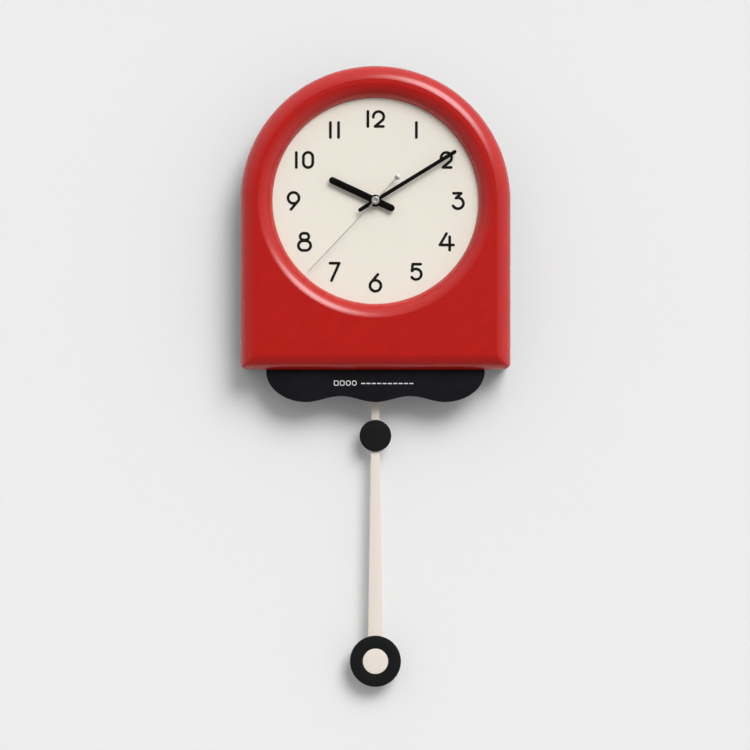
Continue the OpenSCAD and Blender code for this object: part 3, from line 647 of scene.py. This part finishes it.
def thickened(mesh, thickness):
    """Adds an inner skin at this distance behind an open surface, and closes the rims between them."""
    bm = bmesh.new()
    bm.from_mesh(mesh)
    bm.normal_update()
    top = max(bm.verts, key=lambda v: v.co.z)
    if top.normal.z < 0:
        bmesh.ops.reverse_faces(bm, faces=bm.faces)
        bm.normal_update()
    skin = list(bm.faces)
    rims = [e.link_loops[0] for e in bm.edges if len(e.link_faces) == 1]
    rims = [(loop.vert, loop.link_loop_next.vert) for loop in rims]
    twins = {v: bm.verts.new(v.co - v.normal * thickness * MM) for v in list(bm.verts)}
    for face in skin:
        bm.faces.new([twins[v] for v in reversed(face.verts)])
    for a, b in rims:
        bm.faces.new((b, a, twins[a], twins[b]))
    bm.to_mesh(mesh)
    bm.free()


def boss(x, y, r, bore, low, high, deep):
    """Round post from low to high, with a screw hole that runs deep into it from its low end."""
    profile = [(bore, low), (r, low), (r, high), (0, high), (0, low + deep), (bore, low + deep)]
    return lathe("boss", profile, (x, y), 32)


def screw_posts():
    """Posts that the back cover, the dial, the scalloped plate and the pendulum drive are screwed to."""
    side = HALF_W - 9.5
    shoulder = (side * math.cos(math.radians(62)), side * math.sin(math.radians(62)))
    low = (HALF_W - 11, 11 - DROP)
    cover = [(sign * x, y) for x, y in ((side, 0), shoulder, low) for sign in (1, -1)]
    out = (OPENING_R + 6.8) * math.sqrt(0.5)
    dial = [(x, y) for x in (-out, out) for y in (-out, out)]
    plate = [(x, PLATE_SCREW_Y) for x in PLATE_SCREW_XS]
    drive = [(x, y) for x in (-70, 24) for y in (-137, -112)]
    posts = [boss(x, y, POST_R, POST_BORE_R, 3.5, DEPTH - 4.5, 12) for x, y in cover]
    posts += [boss(x, y, DIAL_POST_R, DIAL_POST_BORE_R, 30.5, 40.9, 7) for x, y in dial]
    posts += [boss(x, y, POST_R, POST_BORE_R, PLATE_FRONT, DEPTH - 6.5, 7) for x, y in plate]
    posts += [boss(x, y, POST_R, POST_BORE_R, 40, DEPTH - 2, 3.5) for x, y in drive]
    return posts


def mark_ridges(mesh):
    """The flat front ends in a crisp ridge, both at the rounded edge and at the lip."""
    for edge in mesh.edges:
        ends = [mesh.vertices[v].co for v in edge.vertices]
        if any(-p.y <= (DEPTH - 0.001) * MM for p in ends):
            continue
        at_edge = at_lip = True
        for p in ends:
            x, y = (p.x - DIAL_X) / MM, (p.z - DIAL_Z) / MM
            reach = math.hypot(x, y)
            inward = min(HALF_W - abs(x), DROP + y) if y < 0 else HALF_W - reach
            at_edge = at_edge and abs(inward - EDGE_IN) < 0.01
            at_lip = at_lip and abs(reach - LIP_RING_R) < 0.2
        if at_edge or at_lip:
            edge.use_edge_sharp = True


def build_case():
    points, faces = case_surface()
    mesh = mesh_from("case_shell", points, faces)
    thickened(mesh, WALL_T)
    bm = bmesh.new()
    for part in [mesh] + screw_posts():
        bm.from_mesh(part)
    bm.to_mesh(mesh)
    bm.free()
    piece("case_shell", mesh, "case", "red_case", "front_case", sharp=40)
    mark_ridges(mesh)


build_case()


# ---------------------------------------------------------------- hands

HAND_T, HAND_SOFT = 0.6, 0.16
HOUR_HAND = {"tail": -19.4, "reach": 47.3, "width": 6.4, "hub": 5.6, "bore": 2.52, "back": 36.9}
MINUTE_HAND = {"tail": -18.5, "reach": 88, "width": 3.6, "hub": 4.8, "bore": 1.52, "back": 38.9}
HOUR_ANGLE, MINUTE_ANGLE, SECOND_ANGLE = 295.1, 58.5, 223.4

SECOND_BACK, SECOND_FRONT = 40.6, 41.0
SECOND_REACH, NEEDLE_HALF_W, NEEDLE_ROOT_Y = 90.6, 0.33, 11
SECOND_HUB_R, ROOT_HALF_W, TAIL_HALF_W = 2.6, 0.9, 0.4
WEIGHT_R, WEIGHT_Y = 2.5, -29.4
ARBOR_R, CAP_R, CAP_SOFT = 0.62, 3.7, 0.5


def bar_hand(name, hand, angle):
    """Straight hand with round ends and a round hub, turned to its direction."""
    r, hub = hand["width"] / 2, hand["hub"]
    neck = math.degrees(math.asin(r / hub))
    outline = arc((0, hand["reach"] - r), r, 0, 180, 20)
    outline += arc((0, 0), hub, 90 + neck, 270 - neck, 20)
    outline += arc((0, hand["tail"] + r), r, 180, 360, 20)
    outline += arc((0, 0), hub, 270 + neck, 450 - neck, 20)
    loops = [outline, circle(0, 0, hand["bore"])]
    return slab(name, loops, hand["back"], hand["back"] + HAND_T, HAND_SOFT, place=turned(angle))


def second_outline():
    """Needle, hub, and a thin tail that ends in a round weight."""
    tip = [(NEEDLE_HALF_W, NEEDLE_ROOT_Y), (NEEDLE_HALF_W - 0.01, SECOND_REACH - 0.2), (0.2, SECOND_REACH)]
    root = math.degrees(math.acos(ROOT_HALF_W / SECOND_HUB_R))
    tail = math.degrees(math.acos(TAIL_HALF_W / SECOND_HUB_R))
    hub = arc((0, 0), SECOND_HUB_R, 180 - root, 180 + tail, 20)
    neck = math.degrees(math.asin(TAIL_HALF_W / WEIGHT_R))
    weight = arc((0, WEIGHT_Y), WEIGHT_R, 90 + neck, 450 - neck, 36)
    return tip + mirrored(tip) + hub + weight + mirrored(hub)


def cap_profile():
    """Section of the hub's cap: a soft rim and a turned dimple in the middle."""
    section = [(ARBOR_R, 0), (CAP_R - 0.06, 0), (CAP_R, 0.06), (CAP_R, 1)]
    section += arc((CAP_R - CAP_SOFT, 1), CAP_SOFT, 0, 90)[1:]
    section += [(1.28, 1.5), (1.14, 1.46), (1.1, 1.38), (1.1, 1.14), (1.06, 1.1), (0, 1.1)]
    section += [(0, 0.9), (ARBOR_R, 0.9)]
    return [(r, SECOND_FRONT + h) for r, h in section]


piece(
    "hour_blade", bar_hand("hour_blade", HOUR_HAND, HOUR_ANGLE),
    "hour", "black_hand", "hour_hand")
piece(
    "minute_blade", bar_hand("minute_blade", MINUTE_HAND, MINUTE_ANGLE),
    "minute", "black_hand", "minute_hand")
piece(
    "second_needle",
    slab("second_needle", [second_outline(), circle(0, 0, ARBOR_R, 24)], SECOND_BACK, SECOND_FRONT,
         0.09, 2, place=turned(SECOND_ANGLE)),
    "second", "silver_hand", "second_hand")
piece("hub_cap", lathe("hub_cap", cap_profile(), (0, 0), 96), "second", "silver_hand", "second_cap")


# ---------------------------------------------------------------- scalloped plate

PLATE_HALF_W, PLATE_TOP = 101.8, 11.5 - DROP
LOBE_PITCH, LOBE_DROP, SCALLOP_H = 64.7, 187.2, 5.5


def plate_outline():
    """Straight top, a quarter of an ellipse at each end, and a wave between them."""
    side_top = -DROP - 1.5
    side_h = LOBE_DROP - DROP - 1.5
    side_w = PLATE_HALF_W - LOBE_PITCH
    mean_y = SCALLOP_H / 2 - LOBE_DROP
    left = [(-PLATE_HALF_W, PLATE_TOP), (-PLATE_HALF_W, side_top)]
    for a in range(3, 90, 3):
        c, s = math.cos(math.radians(a)), math.sin(math.radians(a))
        left.append((-LOBE_PITCH - side_w * c, side_top - side_h * s))
    wave = []
    for i in range(-48, 49):
        turn = 2 * math.pi * i / 48
        wave.append((LOBE_PITCH * i / 48, mean_y - SCALLOP_H / 2 * math.cos(turn)))
    return left + wave + mirrored(left)


plate_holes = [circle(x, PLATE_SCREW_Y, 1.5, 24) for x in PLATE_SCREW_XS]
piece(
    "wavy_plate",
    slab("wavy_plate", [plate_outline()] + plate_holes, PLATE_BACK, PLATE_FRONT, 0.45),
    "case", "black_plate", "scalloped_plate")


# ---------------------------------------------------------------- pendulum

EYE_Y, BOB_Y, ACCENT_Y = -121.0, -430.1, -218.9
EYE_R, EYE_BORE_R = 4, 1.55
ROD_BACK, ROD_FRONT, ROD_W, ROD_TAPER = 12.8, 15.2, 14.3, 0.0306
ACCENT_R, BOB_R, BOB_BORE_R, BOB_CENTRE_R = 14.85, 23.9, 11.95, 11.9


def rod_half(y):
    """Half the width of the rod, which gets narrower from the bob up."""
    return (ROD_W - ROD_TAPER * (y - BOB_Y)) / 2


def rod_outline():
    """Round eye at the top, straight sides, and a round foot behind the bob."""
    top, bottom = rod_half(EYE_Y), rod_half(BOB_Y)
    reach = math.degrees(math.acos(top / EYE_R))
    eye = arc((0, EYE_Y), EYE_R, reach, 180 - reach, 24)
    side = [(-top + (top - bottom) * i / 8, EYE_Y + (BOB_Y - EYE_Y) * i / 8) for i in range(1, 8)]
    foot = arc((0, BOB_Y), bottom, 180, 360, 24)
    return eye + side + foot + mirrored(side)


def disc(name, y, inner, outer, thickness, soft, steps=128):
    """Disc or ring on the front of the rod, with softly rounded front edges."""
    low, high = ROD_FRONT, ROD_FRONT + thickness
    back = 0.25
    profile = [(inner, low), (outer - back, low)] + arc((outer - back, low + back), back, -90, 0, 3)[1:]
    profile += arc((outer - soft, high - soft), soft, 0, 90)
    if inner > 0:
        profile += arc((inner + soft, high - soft), soft, 90, 180)
    else:
        profile += [(0.5 * outer, high), (0, high)]
    return lathe(name, profile, (0, y), steps)


piece(
    "rod_strip",
    slab("rod_strip", [rod_outline(), circle(0, EYE_Y, EYE_BORE_R, 32)], ROD_BACK, ROD_FRONT, 0.45),
    "pendulum", "cream_rod", "pendulum_rod")
piece(
    "small_disc", disc("small_disc", ACCENT_Y, 0, ACCENT_R, 2.2, 0.6),
    "pendulum", "black_disc", "accent_disc")
piece(
    "bob_outer", disc("bob_outer", BOB_Y, BOB_BORE_R, BOB_R, 2.4, 0.6, 160),
    "pendulum", "black_disc", "bob_ring")
piece(
    "bob_inner", disc("bob_inner", BOB_Y, 0, BOB_CENTRE_R, 2.2, 0.4),
    "pendulum", "cream_rod", "bob_centre")


# ---------------------------------------------------------------- stage, light and camera

WALL_WHITE = 0.83


def wall_material():
    """Pale wall that is seen from the front only, so that views from behind show the clock's back."""
    g = Graph("pale_wall")
    g.put(
        Base_Color=g.ramp(g.noise(60, 3), [(0.3, (WALL_WHITE * 0.998,) * 3), (0.7, (WALL_WHITE,) * 3)]),
        Roughness=0.9,
        Specular_IOR_Level=0.0,
    )
    facing = g.nodes.new("ShaderNodeNewGeometry")
    clear = g.nodes.new("ShaderNodeBsdfTransparent")
    mix = g.nodes.new("ShaderNodeMixShader")
    output = next(n for n in g.nodes if n.type == "OUTPUT_MATERIAL")
    g.link(facing.outputs["Backfacing"], mix.inputs[0])
    g.link(g.shader.outputs[0], mix.inputs[1])
    g.link(clear.outputs[0], mix.inputs[2])
    g.link(mix.outputs[0], output.inputs[0])
    return g.material


def build_wall():
    half = 6.0
    mesh = bpy.data.meshes.new("stage_wall")
    corners = [(-half, 0, -half), (half, 0, -half), (half, 0, half), (-half, 0, half)]
    mesh.from_pydata(corners, [], [(0, 1, 2, 3)])
    mesh.materials.append(wall_material())
    wall = bpy.data.objects.new("stage_wall", mesh)
    bpy.context.scene.collection.objects.link(wall)
    wall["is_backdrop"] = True


build_wall()

# Light on the clock's back, which stands against the wall: it falls on the clock only. The first
# comes straight from behind, so that it leaves the clock's sides alone. The second is for what is
# inside the back rim.
INSIDE = [
    "back_cover", "cover_screws", "hanger_plate", "hanger_rivets", "movement_front_shell",
    "movement_back_shell", "clock_battery", "clock_contacts", "setting_knob", "rotor", "stator",
    "movement_coil", "movement_board", "drive_case", "drive_lid", "drive_screws",
    "drive_battery", "drive_contacts", "drive_coil", "drive_board"]


def light_from_behind(name, towards, power, angle, receivers):
    light = bpy.data.lights.new(name, "SUN")
    light.energy = power
    light.angle = math.radians(angle)
    obj = bpy.data.objects.new(name, light)
    obj.rotation_mode = "QUATERNION"
    obj.rotation_quaternion = Vector(towards).to_track_quat("Z", "Y")
    obj.location = Vector(towards) * 3
    bpy.context.scene.collection.objects.link(obj)
    lit = bpy.data.collections.new(name + "_on")
    blocking = bpy.data.collections.new(name + "_blocked_by")
    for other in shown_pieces():
        blocking.objects.link(other)
        if receivers is None or other.name in receivers:
            lit.objects.link(other)
    obj.light_linking.receiver_collection = lit
    obj.light_linking.blocker_collection = blocking


light_from_behind("back_light", (0, 1, 0), 0.5, 2, None)
light_from_behind("back_fill", (-0.5, 0.75, 0.45), 1.6, 50, INSIDE)

# The studio as seen from the clock: a round softbox at the upper right with a soft rim, and paler
# walls above and to the right than to the left. slope is the direction to the softbox as slopes to
# the right and up from the line straight out of the wall, and core and rim are angles about it.
SOFTBOX = {"power": 12.0, "slope": (0.50, 0.875), "core": 8, "rim": 21.5}
STUDIO_DARK = 0.14
STUDIO_UP, STUDIO_RIGHT, STUDIO_LEFT, STUDIO_DOWN = 1.16, 0.92, 0.52, 0.15
BACKDROP = 0.838


def build_world():
    world = bpy.data.worlds.new("studio")
    world.use_nodes = True
    nodes, links = world.node_tree.nodes, world.node_tree.links
    nodes.clear()

    def maths(kind, *values):
        node = nodes.new("ShaderNodeMath")
        node.operation = kind
        for socket, value in zip(node.inputs, values):
            if isinstance(value, (int, float)):
                socket.default_value = value
            else:
                links.new(value, socket)
        return node.outputs[0]

    def step(value, start, end):
        node = nodes.new("ShaderNodeMapRange")
        node.interpolation_type = "SMOOTHSTEP"
        node.inputs["From Min"].default_value = start
        node.inputs["From Max"].default_value = end
        links.new(value, node.inputs["Value"])
        return node.outputs[0]

    coords = nodes.new("ShaderNodeTexCoord")
    split = nodes.new("ShaderNodeSeparateXYZ")
    links.new(coords.outputs["Generated"], split.inputs[0])
    x, y, z = split.outputs
    right, up = SOFTBOX["slope"]
    middle = Vector((right, -1, up)).normalized()
    closeness = maths("MULTIPLY", x, middle.x)
    closeness = maths("MULTIPLY_ADD", y, middle.y, closeness)
    closeness = maths("MULTIPLY_ADD", z, middle.z, closeness)
    box = step(closeness, math.cos(math.radians(SOFTBOX["rim"])), math.cos(math.radians(SOFTBOX["core"])))
    total = maths("MULTIPLY_ADD", box, SOFTBOX["power"], STUDIO_DARK)
    sides = ((z, 1, STUDIO_UP), (x, 1, STUDIO_RIGHT), (x, -1, STUDIO_LEFT), (z, -1, STUDIO_DOWN))
    for axis, sign, strength in sides:
        side = maths("POWER", maths("MAXIMUM", maths("MULTIPLY", axis, sign), 0), 1.3)
        total = maths("MULTIPLY_ADD", side, strength, total)
    lit = nodes.new("ShaderNodeBackground")
    links.new(total, lit.inputs["Strength"])
    seen = nodes.new("ShaderNodeBackground")
    seen.inputs["Color"].default_value = (1, 1, 1, 1)
    seen.inputs["Strength"].default_value = BACKDROP
    path = nodes.new("ShaderNodeLightPath")
    mix = nodes.new("ShaderNodeMixShader")
    links.new(path.outputs["Is Camera Ray"], mix.inputs[0])
    links.new(lit.outputs[0], mix.inputs[1])
    links.new(seen.outputs[0], mix.inputs[2])
    output = nodes.new("ShaderNodeOutputWorld")
    links.new(mix.outputs[0], output.inputs[0])
    bpy.context.scene.world = world


build_world()

CAMERA_AWAY = 2.5
VIEW_WIDTH = 0.6942
CAMERA_X, CAMERA_Z = -0.0004, -0.2620
camera_data = bpy.data.cameras.new("camera")
camera_data.sensor_width = 36
camera_data.lens = 36 * CAMERA_AWAY / VIEW_WIDTH
camera = bpy.data.objects.new("camera", camera_data)
camera.location = (CAMERA_X, -(DEPTH * MM + CAMERA_AWAY), CAMERA_Z)
camera.rotation_euler = (math.radians(90), 0, 0)
bpy.context.scene.collection.objects.link(camera)
bpy.context.scene.camera = camera
bpy.context.scene.view_settings.view_transform = "Standard"
